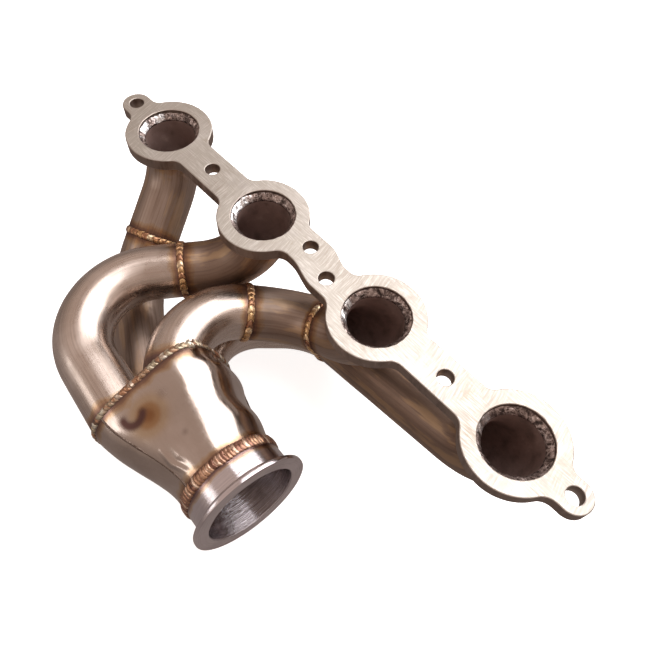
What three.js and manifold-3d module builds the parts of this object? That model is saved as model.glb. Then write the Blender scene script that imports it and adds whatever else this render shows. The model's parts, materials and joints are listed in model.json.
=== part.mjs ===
// Tubular exhaust manifold for one bank of four cylinders.
// Millimetres. The origin is the centre of the head flange's gasket face, between ports 2 and 3.
// +X runs along the row of ports towards port 4, +Z is the gasket face's outward normal, and the
// runners hang below the flange towards -Z and -Y, where they merge and leave towards +X.
import * as THREE from 'three';
import { mergeVertices } from 'three/addons/utils/BufferGeometryUtils.js';
import Module from 'manifold-3d';

const wasm = await Module();
wasm.setup();

// Head flange
const PORT_PITCH = 111.76;
const FLANGE_THICKNESS = 9.5;
const BOSS_RADIUS = 32.8;
const PORT_HOLE_RADIUS = 22.7;
const TUBE_SOCKET_RADIUS = 21.4;
const PORT_HOLE_DEPTH = 7;
const BOLT_HOLE_RADIUS = 5.4;
const EAR_X = 209;
const EAR_Y = -1;
const EAR_RADIUS = 11;
const NECK_TOP = 13.7;
const NECK_BOTTOM = 14.2;
const CENTRE_NECK_HIGH = 17;
const CENTRE_NECK_LOW = 11.4;
const CENTRE_NECK_SHALLOW = 10.3;
const CENTRE_NECK_DEEP = 15.8;
const TOP_FILLET = 8;
const BOTTOM_FILLET = 10;
const CENTRE_STEP_TOP = [-4, 16];
const CENTRE_STEP_BOTTOM = [11, -15];
const ARC_STEP = 15;
const PORT_HOLE_SIDES = 28;
const BOLT_HOLES = [[-EAR_X, EAR_Y], [-113.5, 0], [-12.8, 5.6], [13.2, -4], [113.8, 0], [EAR_X, EAR_Y]];

// Runner tube
const TUBE_RADIUS = 20.65;
const TUBE_WALL = 1.65;
const BEND_RADIUS = 50;
const TUBE_TOP = 7.3;
const GAP = 0.3;
const BEND_STEP = 15;
const TUBE_SIDES = 8;

// Each runner drops straight from its port to a first corner, may pass one middle corner, and comes
// in to its spot in the collector along a straight approach. Every corner is bent to BEND_RADIUS.
// spot is its column and row in the inlet. yaw and pitch turn the approach from the collector's
// axis. welds are distances along the centreline where two pieces are butt welded.
const RUNNERS = [
  { port: -1.5, drop: 38, middle: [[-143, -58, -81]], spot: [0, -1], yaw: -23, pitch: 1,
    approach: 131, welds: [95], pieces: ['upper', 'lower'] },
  { port: -0.5, drop: 55, middle: [], spot: [0, 1], yaw: -3, pitch: -5,
    approach: 131, welds: [97], pieces: ['port_bend', 'u_bend'] },
  { port: 0.5, drop: 38, middle: [[-8, -9, -69]], spot: [1, 1], yaw: -34, pitch: -3,
    approach: 52, welds: [74, 139], pieces: ['port_bend', 'link_bend', 'u_bend'] },
  { port: 1.5, drop: 44, middle: [[-12, 14, -110]], spot: [1, -1], yaw: -21, pitch: 7,
    approach: 69, welds: [204], pieces: ['long_run', 'u_bend'] },
];

// Weld beads
const BEAD_SIDES = 20;
const BEAD_CROWN_STEPS = 4;
const BUTT_WELD_WIDTH = 4.8;
const BUTT_WELD_HEIGHT = 1.3;
const PORT_WELD_TOP = 2.2;
const PORT_WELD_INNER_RADIUS = 18.9;
const PORT_WELD_SHOULDER = [1.8, 1.6];
const PORT_WELD_LIP = 1;
const PORT_WELD_SIDES = 24;

// Collector. Its own axis runs along the outlet, with the origin at the outlet's face.
const OUTLET = [79, -126.5, -62.8];
const OUTLET_YAW = -3.6;
const OUTLET_PITCH = 4.4;
const COLLECTOR_LENGTH = 97;
const INLET_OFFSET = [-7.6, 0.7];
const INLET_ROLL = 17.5;
const INLET_CENTRE_SHIFT = 3.8;
const INLET_COLUMNS = [-21, 25];
const INLET_ROW_OFFSET = 21.2;
const INLET_HALF_WIDTH = 47.5;
const INLET_HALF_HEIGHT = 43.4;
const INLET_SQUARENESS = 3.4;
const SHELL_WALL = 2;
const SHELL_OUTLET_RADIUS = 35;
const SHELL_OUTLET_AT = -23.4;
const SEAM_HEIGHT = 10.3;
const SEAM_ROLL = -25;
const SEAM_BEAD_RADIUS = 2.6;
const INLET_WELD_WIDTH = 5;
const INLET_WELD_HEIGHT = 1.8;
const SHELL_SIDES = 32;
const SHELL_STEPS = 9;
const SHELL_COLLAR = 4;
const SEAM_BEAD_HEIGHT = 1.1;
const SEAM_BEAD_INLET_END = 3;
const SEAM_BEAD_OUTLET_END = 7;
const OVERRUN = 5;
const CUT_SIZE = 300;

// Outlet flange
const OUTLET_BORE_RADIUS = 31.5;
const OUTLET_RIM_RADIUS = 41.4;
const OUTLET_RIM_THICKNESS = 3.2;
const OUTLET_NECK_RADIUS = 35;
const OUTLET_NECK_LENGTH = 23;
const OUTLET_RIM_TAPER = 3;
const OUTLET_RIM_CHAMFER = 1;
const OUTLET_SIDES = 36;
const OUTLET_WELD_WIDTH = 7;
const OUTLET_WELD_HEIGHT = 1.9;

const rad = THREE.MathUtils.degToRad;
const part = new THREE.Group();
const collector = new THREE.Group();
collector.position.set(...OUTLET);
collector.rotation.set(0, -rad(OUTLET_PITCH), rad(OUTLET_YAW), 'ZYX');
collector.updateMatrixWorld(true);
part.add(collector);

const MATERIALS = {
  flange: { color: 0xb3a99e, roughness: 0.42, metalness: 1 },
  tube: { color: 0xa08f86, roughness: 0.2, metalness: 1 },
  shell: { color: 0xb3a297, roughness: 0.12, metalness: 1 },
  outlet: { color: 0xa59ca0, roughness: 0.22, metalness: 1 },
  weld: { color: 0x8a6a4a, roughness: 0.5, metalness: 1 },
};

function addMesh(parent, name, geometry, material) {
  const mesh = new THREE.Mesh(geometry, new THREE.MeshStandardMaterial(MATERIALS[material]));
  mesh.name = name;
  parent.add(mesh);
  return mesh;
}

function toSolid(geometry) {
  const bare = geometry.clone();
  bare.deleteAttribute('normal');
  bare.deleteAttribute('uv');
  const merged = mergeVertices(bare, 1e-4);
  return new wasm.Manifold(new wasm.Mesh({
    numProp: 3,
    vertProperties: new Float32Array(merged.attributes.position.array),
    triVerts: new Uint32Array(merged.index.array),
  }));
}

function toGeometry(body) {
  const mesh = body.getMesh();
  const geometry = new THREE.BufferGeometry();
  geometry.setAttribute('position', new THREE.BufferAttribute(mesh.vertProperties, mesh.numProp));
  geometry.setIndex(new THREE.BufferAttribute(mesh.triVerts, 1));
  return geometry;
}

// ---- Head flange ----

function arcPoints(x, y, radius, from, to) {
  const steps = Math.max(2, Math.ceil(Math.abs(to - from) / rad(ARC_STEP)));
  const points = [];
  for (let i = 0; i <= steps; i += 1) {
    const angle = from + (to - from) * i / steps;
    points.push(new THREE.Vector2(x + radius * Math.cos(angle), y + radius * Math.sin(angle)));
  }
  return points;
}

// One side of a port boss with a concave fillet to the neck at each end. edge is 1 for the +Y side,
// where the outline runs towards +X, and -1 for the -Y side, where it runs back towards -X.
function bossSide(x, edge, heightBefore, heightAfter, fillet) {
  const lift = (height) => Math.asin((height + fillet) / (BOSS_RADIUS + fillet));
  const reach = BOSS_RADIUS + fillet;
  const before = lift(heightBefore);
  const after = lift(heightAfter);
  const turn = edge > 0 ? 0 : Math.PI;
  const place = (angle) => [x + reach * Math.cos(angle + turn), reach * Math.sin(angle + turn)];
  const quarter = turn - Math.PI / 2;
  return [
    ...arcPoints(...place(Math.PI - before), fillet, quarter, turn - before),
    ...arcPoints(x, 0, BOSS_RADIUS, turn + Math.PI - before, turn + after),
    ...arcPoints(...place(after), fillet, turn + Math.PI + after, turn + 1.5 * Math.PI),
  ];
}

function flangeOutline() {
  const ports = RUNNERS.map((runner) => runner.port * PORT_PITCH);
  const wave = (from, to) => new THREE.CubicBezierCurve(
    new THREE.Vector2(...from),
    new THREE.Vector2((from[0] + to[0]) / 2, from[1]),
    new THREE.Vector2((from[0] + to[0]) / 2, to[1]),
    new THREE.Vector2(...to),
  ).getPoints(5);
  const earTop = EAR_RADIUS + EAR_Y;
  const earBottom = EAR_RADIUS - EAR_Y;
  return [
    ...arcPoints(-EAR_X, EAR_Y, EAR_RADIUS, 1.5 * Math.PI, 0.5 * Math.PI),
    ...bossSide(ports[0], 1, earTop, NECK_TOP, TOP_FILLET),
    ...bossSide(ports[1], 1, NECK_TOP, CENTRE_NECK_HIGH, TOP_FILLET),
    ...wave([CENTRE_STEP_TOP[0], CENTRE_NECK_HIGH], [CENTRE_STEP_TOP[1], CENTRE_NECK_LOW]),
    ...bossSide(ports[2], 1, CENTRE_NECK_LOW, NECK_TOP, TOP_FILLET),
    ...bossSide(ports[3], 1, NECK_TOP, earTop, TOP_FILLET),
    ...arcPoints(EAR_X, EAR_Y, EAR_RADIUS, 0.5 * Math.PI, -0.5 * Math.PI),
    ...bossSide(ports[3], -1, earBottom, NECK_BOTTOM, BOTTOM_FILLET),
    ...bossSide(ports[2], -1, NECK_BOTTOM, CENTRE_NECK_DEEP, BOTTOM_FILLET),
    ...wave([CENTRE_STEP_BOTTOM[0], -CENTRE_NECK_DEEP], [CENTRE_STEP_BOTTOM[1], -CENTRE_NECK_SHALLOW]),
    ...bossSide(ports[1], -1, CENTRE_NECK_SHALLOW, NECK_BOTTOM, BOTTOM_FILLET),
    ...bossSide(ports[0], -1, NECK_BOTTOM, earBottom, BOTTOM_FILLET),
  ];
}

function circleHole(x, y, radius) {
  const hole = new THREE.Path();
  hole.absarc(x, y, radius, 0, 2 * Math.PI);
  return hole;
}

function buildFlange() {
  const apart = (point, i, all) => i === 0 || point.distanceTo(all[i - 1]) > 0.05;
  const outline = flangeOutline().filter(apart);
  const shape = new THREE.Shape(outline);
  BOLT_HOLES.forEach(([x, y]) => shape.holes.push(circleHole(x, y, BOLT_HOLE_RADIUS)));
  RUNNERS.forEach((runner) => shape.holes.push(circleHole(runner.port * PORT_PITCH, 0, TUBE_SOCKET_RADIUS)));
  const plate = new THREE.ExtrudeGeometry(shape, {
    depth: FLANGE_THICKNESS, bevelEnabled: false, curveSegments: 8,
  });
  plate.translate(0, 0, -FLANGE_THICKNESS);
  let body = toSolid(plate);
  RUNNERS.forEach((runner) => {
    const counterbore = new THREE.CylinderGeometry(
      PORT_HOLE_RADIUS, PORT_HOLE_RADIUS, 2 * PORT_HOLE_DEPTH, PORT_HOLE_SIDES);
    counterbore.rotateX(Math.PI / 2);
    counterbore.translate(runner.port * PORT_PITCH, 0, 0);
    body = body.subtract(toSolid(counterbore));
  });
  addMesh(part, 'head_flange', toGeometry(body), 'flange');
}

// ---- Runners ----

// The centre of a runner's end in the collector's inlet, and its heading there.
function inletEnd(runner) {
  const [column, row] = runner.spot;
  const spot = new THREE.Vector2(INLET_COLUMNS[column], row * INLET_ROW_OFFSET);
  spot.rotateAround(new THREE.Vector2(), rad(INLET_ROLL)).add(new THREE.Vector2(...INLET_OFFSET));
  const point = collector.localToWorld(new THREE.Vector3(-COLLECTOR_LENGTH - GAP, spot.x, spot.y));
  const level = Math.cos(rad(runner.pitch));
  const heading = new THREE.Vector3(level * Math.cos(rad(runner.yaw)),
    level * Math.sin(rad(runner.yaw)), Math.sin(rad(runner.pitch)));
  return { point, heading: heading.transformDirection(collector.matrixWorld) };
}

// A runner's centreline as straights that meet at sharp corners, from its port to past its inlet.
function runnerCorners(runner) {
  const port = new THREE.Vector3(runner.port * PORT_PITCH, 0, 0);
  const { point, heading } = inletEnd(runner);
  return [
    port,
    port.clone().setZ(-runner.drop),
    ...runner.middle.map((corner) => new THREE.Vector3(...corner)),
    point.clone().addScaledVector(heading, -runner.approach),
    point.clone().addScaledVector(heading, 2 * TUBE_RADIUS),
  ];
}

// Rounds the corners of a runner and returns its straight and curved stretches in order.
function bendTube(runner) {
  const corners = runnerCorners(runner);
  const headings = corners.slice(1).map((corner, i) => corner.clone().sub(corners[i]).normalize());
  const stretches = [];
  let at = 0;
  let start = corners[0];
  const add = (length, angle, direction, side) => {
    stretches.push({ at, length, angle, start, direction, side });
    at += length;
    start = stationAt(stretches, at).point;
  };
  headings.forEach((direction, i) => {
    const next = headings[i + 1];
    const angle = next ? direction.angleTo(next) : 0;
    const setback = BEND_RADIUS * Math.tan(angle / 2);
    add(corners[i + 1].distanceTo(start) - setback, 0, direction);
    if (!next) return;
    const side = next.clone().projectOnPlane(direction).normalize();
    add(BEND_RADIUS * angle, angle, direction, side);
  });
  return stretches;
}

function stationAt(stretches, distance) {
  const found = stretches.findLast((stretch) => stretch.at <= distance + 1e-6);
  const along = distance - found.at;
  if (found.angle === 0) {
    return { point: found.start.clone().addScaledVector(found.direction, along),
      tangent: found.direction.clone() };
  }
  const turned = along / BEND_RADIUS;
  const point = found.start.clone()
    .addScaledVector(found.side, BEND_RADIUS * (1 - Math.cos(turned)))
    .addScaledVector(found.direction, BEND_RADIUS * Math.sin(turned));
  const tangent = found.direction.clone().multiplyScalar(Math.cos(turned))
    .addScaledVector(found.side, Math.sin(turned));
  return { point, tangent: tangent.normalize() };
}

// The centreline of one cut piece, with a station at each end of every stretch and every few
// degrees around the bends, so that a straight costs one step.
class PieceAxis extends THREE.Curve {
  constructor(stretches, from, to) {
    super();
    const distances = [from];
    stretches.forEach((stretch) => {
      const steps = Math.max(1, Math.ceil(THREE.MathUtils.radToDeg(stretch.angle) / BEND_STEP));
      for (let i = 0; i <= steps; i += 1) {
        const distance = stretch.at + stretch.length * i / steps;
        const isInside = distance > from + 1 && distance < to - 1;
        if (isInside && distance > distances.at(-1) + 0.5) distances.push(distance);
      }
    });
    distances.push(to);
    this.stations = distances.map((distance) => stationAt(stretches, distance));
  }

  getUtoTmapping(u) {
    return u;
  }

  getPoint(t, target = new THREE.Vector3()) {
    return target.copy(this.stations[Math.round(t * (this.stations.length - 1))].point);
  }

  getTangent(t, target = new THREE.Vector3()) {
    return target.copy(this.stations[Math.round(t * (this.stations.length - 1))].tangent);
  }
}

function sweep(stretches, from, to, outer, inner) {
  const axis = new PieceAxis(stretches, from, to);
  const section = new THREE.Shape();
  section.absarc(0, 0, outer, 0, 2 * Math.PI);
  if (inner > 0) section.holes.push(circleHole(0, 0, inner));
  return new THREE.ExtrudeGeometry(section, {
    steps: axis.stations.length - 1, extrudePath: axis, bevelEnabled: false, curveSegments: TUBE_SIDES,
  });
}

// A box that covers the collector's space just past its inlet plane, in the part's frame.
function beyondInlet() {
  const length = COLLECTOR_LENGTH - OUTLET_NECK_LENGTH;
  const box = new THREE.BoxGeometry(length, 3 * INLET_HALF_WIDTH, 3 * INLET_HALF_WIDTH);
  box.translate(length / 2 - COLLECTOR_LENGTH - GAP, 0, 0);
  box.applyMatrix4(collector.matrixWorld);
  return toSolid(box);
}

// The radius of a regular polygon's corners when its flats touch a circle of the given radius.
function aroundCircle(radius, sides) {
  return radius / Math.cos(Math.PI / sides);
}

// A ring bead with a rounded crown, turned about the Y axis, that clears a round tube inside it.
function beadRing(tubeRadius, width, height) {
  const innerRadius = aroundCircle(tubeRadius + GAP, BEAD_SIDES);
  const profile = [new THREE.Vector2(innerRadius, -width / 2)];
  for (let i = 1; i < BEAD_CROWN_STEPS; i += 1) {
    const angle = Math.PI * i / BEAD_CROWN_STEPS;
    const crown = innerRadius + height * Math.sin(angle);
    profile.push(new THREE.Vector2(crown, -width / 2 * Math.cos(angle)));
  }
  profile.push(new THREE.Vector2(innerRadius, width / 2));
  profile.push(profile[0].clone());
  return new THREE.LatheGeometry(profile, BEAD_SIDES);
}

// A box that covers everything above the tubes' ends inside the head flange.
function aboveSocket() {
  const box = new THREE.BoxGeometry(2 * CUT_SIZE, CUT_SIZE, CUT_SIZE);
  box.translate(0, 0, CUT_SIZE / 2 - TUBE_TOP);
  return toSolid(box);
}

function buildRunners() {
  const pastInlet = beyondInlet();
  const insideFlange = aboveSocket();
  RUNNERS.forEach((runner, index) => {
    const number = index + 1;
    const stretches = bendTube(runner);
    const end = stretches.at(-1).at + stretches.at(-1).length;
    const cuts = [TUBE_TOP / 2, ...runner.welds, end];
    runner.pieces.forEach((piece, i) => {
      const from = cuts[i] + (i > 0 ? GAP / 2 : 0);
      const isLast = i === runner.pieces.length - 1;
      const to = isLast ? end : cuts[i + 1] - GAP / 2;
      const tube = sweep(stretches, from, to, TUBE_RADIUS, TUBE_RADIUS - TUBE_WALL);
      let body = toSolid(tube);
      if (i === 0) body = body.subtract(insideFlange);
      if (isLast) body = body.subtract(pastInlet);
      addMesh(part, `runner_${number}_${piece}`, toGeometry(body), 'tube');
    });
    runner.welds.forEach((distance, i) => {
      const ring = beadRing(TUBE_RADIUS, BUTT_WELD_WIDTH, BUTT_WELD_HEIGHT);
      const suffix = runner.welds.length > 1 ? 'ab'[i] : '';
      const mesh = addMesh(part, `butt_weld_${number}${suffix}`, ring, 'weld');
      const station = stationAt(stretches, distance);
      mesh.position.copy(station.point);
      mesh.quaternion.setFromUnitVectors(new THREE.Vector3(0, 1, 0), station.tangent);
    });
  });
}

// The weld that joins a tube's end to the flange from inside the port hole: a sloping fillet.
function buildPortWelds() {
  const wall = PORT_HOLE_RADIUS * Math.cos(Math.PI / PORT_HOLE_SIDES) - GAP;
  const floor = -PORT_HOLE_DEPTH + GAP;
  const [shoulderIn, shoulderDown] = PORT_WELD_SHOULDER;
  const profile = [
    [wall, floor], [wall, -PORT_WELD_TOP], [wall - shoulderIn, -PORT_WELD_TOP - shoulderDown],
    [PORT_WELD_INNER_RADIUS, floor + PORT_WELD_LIP], [PORT_WELD_INNER_RADIUS, floor], [wall, floor],
  ].map(([radius, height]) => new THREE.Vector2(radius, height));
  RUNNERS.forEach((runner, index) => {
    const ring = new THREE.LatheGeometry(profile, PORT_WELD_SIDES);
    ring.rotateX(Math.PI / 2);
    const mesh = addMesh(part, `port_weld_${index + 1}`, ring, 'weld');
    mesh.position.set(runner.port * PORT_PITCH, 0, 0);
  });
}

// ---- Collector ----

// Outline of the collector at one station. blend is 0 at the four-tube inlet, a rounded and rolled
// rectangle, and 1 at the round outlet. inset shrinks it for the inner surface.
function collectorSection(angle, blend, inset) {
  const width = INLET_HALF_WIDTH - inset;
  const height = INLET_HALF_HEIGHT - inset;
  const cos = Math.cos(angle);
  const sin = Math.sin(angle);
  const power = (value) => Math.sign(value) * Math.abs(value) ** (2 / INLET_SQUARENESS);
  const local = new THREE.Vector2(width * power(cos) + INLET_CENTRE_SHIFT, height * power(sin));
  local.rotateAround(new THREE.Vector2(), rad(INLET_ROLL));
  local.add(new THREE.Vector2(...INLET_OFFSET));
  const outletRadius = SHELL_OUTLET_RADIUS - inset;
  const round = new THREE.Vector2(outletRadius * Math.cos(angle + rad(INLET_ROLL)),
    outletRadius * Math.sin(angle + rad(INLET_ROLL)));
  return local.lerp(round, blend);
}

// A closed body between two stations along the collector's axis, made by reshaping a cylinder.
function collectorLoft(from, to, inset, steps) {
  const start = -COLLECTOR_LENGTH;
  const loft = new THREE.CylinderGeometry(1, 1, 1, SHELL_SIDES, steps);
  const positions = loft.attributes.position;
  for (let i = 0; i < positions.count; i += 1) {
    const along = THREE.MathUtils.lerp(from, to, positions.getY(i) + 0.5);
    const blend = THREE.MathUtils.smoothstep(along, start, SHELL_OUTLET_AT - SHELL_COLLAR);
    const angle = Math.atan2(-positions.getZ(i), positions.getX(i));
    const size = Math.hypot(positions.getX(i), positions.getZ(i));
    const rim = collectorSection(angle, blend, inset);
    const centre = new THREE.Vector2(...INLET_OFFSET).lerp(new THREE.Vector2(), blend);
    const point = centre.lerp(rim, size);
    positions.setXYZ(i, along, point.x, point.y);
  }
  return toSolid(loft);
}

// The half of space above or below the seam, in the collector's frame.
function seamSide(side) {
  const block = new THREE.BoxGeometry(CUT_SIZE, CUT_SIZE, CUT_SIZE);
  block.translate(0, 0, side * (CUT_SIZE + GAP) / 2);
  block.rotateX(rad(SEAM_ROLL));
  block.translate(0, 0, SEAM_HEIGHT);
  return toSolid(block);
}

function buildCollector() {
  const start = -COLLECTOR_LENGTH + GAP;
  const outside = collectorLoft(start, SHELL_OUTLET_AT, 0, SHELL_STEPS);
  const hollow = collectorLoft(start - OVERRUN, SHELL_OUTLET_AT + OVERRUN, SHELL_WALL, SHELL_STEPS);
  const shell = outside.subtract(hollow);
  addMesh(collector, 'collector_upper_shell', toGeometry(shell.intersect(seamSide(1))), 'shell');
  addMesh(collector, 'collector_lower_shell', toGeometry(shell.intersect(seamSide(-1))), 'shell');

  const skin = collectorLoft(start - OVERRUN, SHELL_OUTLET_AT + OVERRUN, -GAP, SHELL_STEPS);
  const seamStart = start + SEAM_BEAD_INLET_END;
  const seamEnd = SHELL_OUTLET_AT - SEAM_BEAD_OUTLET_END;
  const seam = seamBand().intersect(collectorLoft(seamStart, seamEnd, -SEAM_BEAD_HEIGHT, SHELL_STEPS));
  const beads = seam.subtract(skin).decompose();
  const bySide = beads.sort((a, b) => a.boundingBox().min[1] - b.boundingBox().min[1]);
  addMesh(collector, 'collector_seam_weld_outer', toGeometry(bySide[0]), 'weld');
  addMesh(collector, 'collector_seam_weld_inner', toGeometry(bySide.at(-1)), 'weld');

  const weldEnd = -COLLECTOR_LENGTH - GAP;
  let inletWeld = collectorLoft(weldEnd - INLET_WELD_WIDTH, weldEnd, -INLET_WELD_HEIGHT, 1);
  const toCollector = collector.matrixWorld.clone().invert();
  RUNNERS.forEach((runner) => {
    const stretches = bendTube(runner);
    const last = stretches.at(-1);
    const from = last.at - 2 * TUBE_RADIUS;
    const clearance = aroundCircle(TUBE_RADIUS + GAP, 2 * TUBE_SIDES);
    const cutter = sweep(stretches, from, last.at + last.length, clearance, 0);
    cutter.applyMatrix4(toCollector);
    inletWeld = inletWeld.subtract(toSolid(cutter));
  });
  addMesh(collector, 'collector_inlet_weld', toGeometry(inletWeld), 'weld');
}

// A thin slab along the seam plane, wide enough for the bead.
function seamBand() {
  const slab = new THREE.BoxGeometry(CUT_SIZE, CUT_SIZE, 2 * SEAM_BEAD_RADIUS);
  slab.rotateX(rad(SEAM_ROLL));
  slab.translate(0, 0, SEAM_HEIGHT);
  return toSolid(slab);
}

// ---- Outlet ----

function turnedAboutOutlet(geometry) {
  geometry.rotateZ(-Math.PI / 2);
  return geometry;
}

function buildOutlet() {
  const rim = OUTLET_RIM_RADIUS;
  const back = -OUTLET_RIM_THICKNESS;
  const profile = [
    [OUTLET_BORE_RADIUS, -OUTLET_NECK_LENGTH], [OUTLET_NECK_RADIUS, -OUTLET_NECK_LENGTH],
    [OUTLET_NECK_RADIUS, back - OUTLET_RIM_TAPER], [rim, back],
    [rim, -OUTLET_RIM_CHAMFER], [rim - OUTLET_RIM_CHAMFER, 0],
    [OUTLET_BORE_RADIUS, 0], [OUTLET_BORE_RADIUS, -OUTLET_NECK_LENGTH],
  ].map(([radius, height]) => new THREE.Vector2(radius, height));
  const turned = turnedAboutOutlet(new THREE.LatheGeometry(profile, OUTLET_SIDES));
  addMesh(collector, 'outlet_flange', turned, 'outlet');

  const ring = beadRing(OUTLET_NECK_RADIUS, OUTLET_WELD_WIDTH, OUTLET_WELD_HEIGHT);
  const mesh = addMesh(collector, 'collector_outlet_weld', turnedAboutOutlet(ring), 'weld');
  mesh.position.x = SHELL_OUTLET_AT + GAP / 2;
}

buildFlange();
buildRunners();
buildPortWelds();
buildCollector();
buildOutlet();

export default part;
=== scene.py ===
"""A welded tubular exhaust manifold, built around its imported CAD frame. Metres, +Z up."""
import math

import bmesh
import bpy
import numpy as np
from mathutils import Euler, Matrix, Vector, noise
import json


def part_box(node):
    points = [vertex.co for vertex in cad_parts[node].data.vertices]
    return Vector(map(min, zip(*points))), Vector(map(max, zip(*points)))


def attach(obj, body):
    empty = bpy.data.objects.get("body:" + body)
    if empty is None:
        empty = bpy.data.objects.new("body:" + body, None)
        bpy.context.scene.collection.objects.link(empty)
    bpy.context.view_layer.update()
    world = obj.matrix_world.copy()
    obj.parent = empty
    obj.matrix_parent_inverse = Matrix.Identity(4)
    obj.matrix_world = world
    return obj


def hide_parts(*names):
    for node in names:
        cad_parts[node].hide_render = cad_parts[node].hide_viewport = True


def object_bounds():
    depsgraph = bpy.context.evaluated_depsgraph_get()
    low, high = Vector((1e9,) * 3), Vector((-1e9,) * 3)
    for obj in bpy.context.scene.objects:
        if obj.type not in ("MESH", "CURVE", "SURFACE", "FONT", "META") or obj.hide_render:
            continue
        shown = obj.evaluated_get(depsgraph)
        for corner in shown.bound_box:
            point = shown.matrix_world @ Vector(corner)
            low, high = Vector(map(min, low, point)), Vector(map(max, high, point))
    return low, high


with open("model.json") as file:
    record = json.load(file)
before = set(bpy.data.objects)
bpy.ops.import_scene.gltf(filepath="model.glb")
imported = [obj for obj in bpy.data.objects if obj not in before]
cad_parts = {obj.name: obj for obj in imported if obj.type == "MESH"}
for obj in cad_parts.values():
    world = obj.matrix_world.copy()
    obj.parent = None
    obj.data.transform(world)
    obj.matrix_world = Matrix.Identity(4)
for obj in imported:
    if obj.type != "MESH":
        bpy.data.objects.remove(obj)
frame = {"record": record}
CAD_LOW, CAD_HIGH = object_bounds()

# Sizes are in millimetres and turned to metres by MM. The row frame's origin is the gasket face's centre.
MM = 0.001
TUBE_RADIUS = 20.65
TUBE_WALL = 1.65
BEND_RADIUS = 50.0
TUBE_TOP = 7.3      # how far under the gasket face the tubes start
GAP = 0.3           # what touching solids of the CAD keep between them

# Runner routes, as in the CAD source: the drop below the port, a middle corner where there is one, the
# column and row in the collector's inlet, the approach to it with its turns in degrees, how far along
# the route each butt weld is, and the CAD's names for the lengths of tube.
RUNNERS = [
    dict(drop=38, middle=[(-143, -58, -81)], spot=(0, -1), yaw=-23, pitch=1, approach=131,
        welds=[95], pieces=["upper", "lower"]),
    dict(drop=55, middle=[], spot=(0, 1), yaw=-3, pitch=-5, approach=131,
        welds=[97], pieces=["port_bend", "u_bend"]),
    dict(drop=38, middle=[(-8, -9, -69)], spot=(1, 1), yaw=-34, pitch=-3, approach=52,
        welds=[74, 139], pieces=["port_bend", "link_bend", "u_bend"]),
    dict(drop=44, middle=[(-12, 14, -110)], spot=(1, -1), yaw=-21, pitch=7, approach=69,
        welds=[204], pieces=["long_run", "u_bend"]),
]
INLET_COLUMNS = (-21, 25)
INLET_ROW_OFFSET = 21.2

INLET_AT = -97.0
INLET_OFFSET = np.array([-7.6, 0.7])
INLET_ROLL = math.radians(17.5)
INLET_CENTRE_SHIFT = 3.8
INLET_HALF = (47.5, 43.4)
INLET_SQUARENESS = 3.4
SHELL_WALL = 2.0
SHELL_FADE = 9.0    # how far from its ends the shell's unevenness starts
SHELL_OUTLET_RADIUS = 35.0
OUTLET_AT = -23.4
ROUND_FROM = OUTLET_AT - 4
SEAM_HEIGHT = 10.3
SEAM_ROLL = math.radians(-25)


# ---- Small helpers ----

def port_centre(index):
    low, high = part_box("port_weld_%d" % (index + 1))
    return Vector(((low.x + high.x) / 2, (low.y + high.y) / 2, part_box("head_flange")[1].z)) / MM


def unit(v):
    v = np.asarray(v, float)
    return v / np.linalg.norm(v)


def turn(v, axis, angle):
    """v turned about a unit axis."""
    v, axis = np.asarray(v, float), unit(axis)
    c, s = math.cos(angle), math.sin(angle)
    return v * c + np.cross(axis, v) * s + axis * (axis @ v) * (1 - c)


def around(count):
    """Even angles round a full turn."""
    return np.arange(count) * 2 * math.pi / count


def wobble(p, size, seed):
    """Smooth noise from -1 to 1, with features about size across. p is in millimetres."""
    return noise.noise(Vector(p) / size + Vector((seed * 7.3, seed * 3.1, seed * 5.7)))


def smooth(edge0, edge1, x):
    """0 before the first edge and 1 past the second, with a smooth step between."""
    t = np.clip((np.asarray(x, float) - edge0) / (edge1 - edge0), 0, 1)
    return t * t * (3 - 2 * t)


def add_object(name, data):
    obj = bpy.data.objects.new(name, data)
    bpy.context.scene.collection.objects.link(obj)
    return obj


def add_mesh(name, bm):
    mesh = bpy.data.meshes.new(name)
    bm.to_mesh(mesh)
    bm.free()
    return add_object(name, mesh)


def make_object(name, bm, materials, replaces, smooth_angle):
    """One piece of the visual, in place of the CAD nodes named in replaces."""
    bmesh.ops.recalc_face_normals(bm, faces=bm.faces)
    obj = add_mesh(name, bm)
    obj.data.shade_smooth()
    obj.data.set_sharp_from_angle(angle=math.radians(smooth_angle))
    for material in materials:
        obj.data.materials.append(material)
    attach(obj, "root")
    if replaces:
        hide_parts(*replaces)


def grid_bmesh(points, facts, wrap_columns=True):
    """A quad grid from points[row][column], whose last row joins the first. facts maps a name to one
    number or one vector for each point, kept on the vertices for the materials."""
    rows, columns = points.shape[:2]
    bm = bmesh.new()
    layers = {}
    for key, values in facts.items():
        kind = bm.verts.layers.float_vector if values.ndim == 3 else bm.verts.layers.float
        layers[key] = kind.new(key)
    verts = []
    for r in range(rows):
        line = []
        for c in range(columns):
            v = bm.verts.new(points[r, c] * MM)
            for key, values in facts.items():
                v[layers[key]] = Vector(values[r, c]) if values.ndim == 3 else float(values[r, c])
            line.append(v)
        verts.append(line)
    for r in range(rows):
        for c in range(columns if wrap_columns else columns - 1):
            nr, nc = (r + 1) % rows, (c + 1) % columns
            bm.faces.new((verts[r][c], verts[nr][c], verts[nr][nc], verts[r][nc]))
    return bm


def line_inside(bm, rows, columns):
    """Gives the second material to the inner half of a wall's grid."""
    bm.faces.ensure_lookup_table()
    for i, face in enumerate(bm.faces):
        face.material_index = 1 if rows <= i // columns < 2 * rows - 1 else 0


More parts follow.
